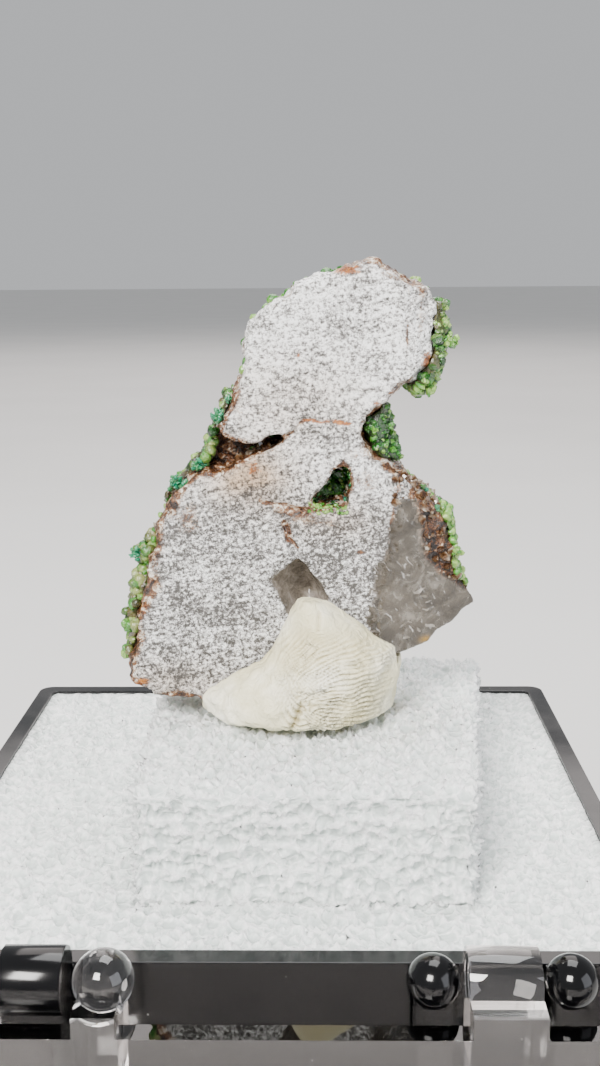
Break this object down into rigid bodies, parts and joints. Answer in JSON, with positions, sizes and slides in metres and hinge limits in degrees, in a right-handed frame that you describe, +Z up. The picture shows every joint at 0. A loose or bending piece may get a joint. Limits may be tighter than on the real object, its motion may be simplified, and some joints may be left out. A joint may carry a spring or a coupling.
{
  "type": "conichalcite on quartz specimen in a hinged display box",
  "caption": "Sawn quartz slab edged with green conichalcite crust, set in putty on a foam block in a square hinged display box whose clear lid stands open.",
  "frame": {"origin": "centre of the tray's underside, on the surface that the box stands on", "axes": "+X to the right seen from the sawn face, +Y from the sawn face towards the natural back, +Z up"},
  "size_m": [0.049, 0.1026, 0.0832],
  "materials": {
    "black_polystyrene": "injection moulded polystyrene, glossy black",
    "clear_polystyrene": "injection moulded crystal polystyrene, clear and glossy",
    "white_foam": "closed-cell polyethylene foam, white, hand cut and torn",
    "cream_putty": "mineral putty, off-white, matt, pressed with finger ridges",
    "sawn_quartz": "sawn quartz, frosted and iron stained",
    "conichalcite": "green crystalline crust, vitreous"
  },
  "bodies": {
    "base": {"box_tray": "black_polystyrene", "foam_liner": "white_foam", "foam_block": "white_foam", "mounting_putty": "cream_putty", "quartz_slab": "sawn_quartz", "conichalcite_left": "conichalcite", "conichalcite_shoulder": "conichalcite", "conichalcite_crown": "conichalcite", "conichalcite_waist": "conichalcite", "conichalcite_right": "conichalcite", "conichalcite_back": "conichalcite", "conichalcite_vug": "conichalcite"},
    "lid": {"box_lid": "clear_polystyrene"}
  },
  "joints": [
    {"name": "lid_hinge", "type": "hinge", "parent": "base", "child": "lid", "pos_m": [0, -0.0268, 0.0427], "axis": [-1, 0, 0], "range_deg": [0, 180]}
  ]
}
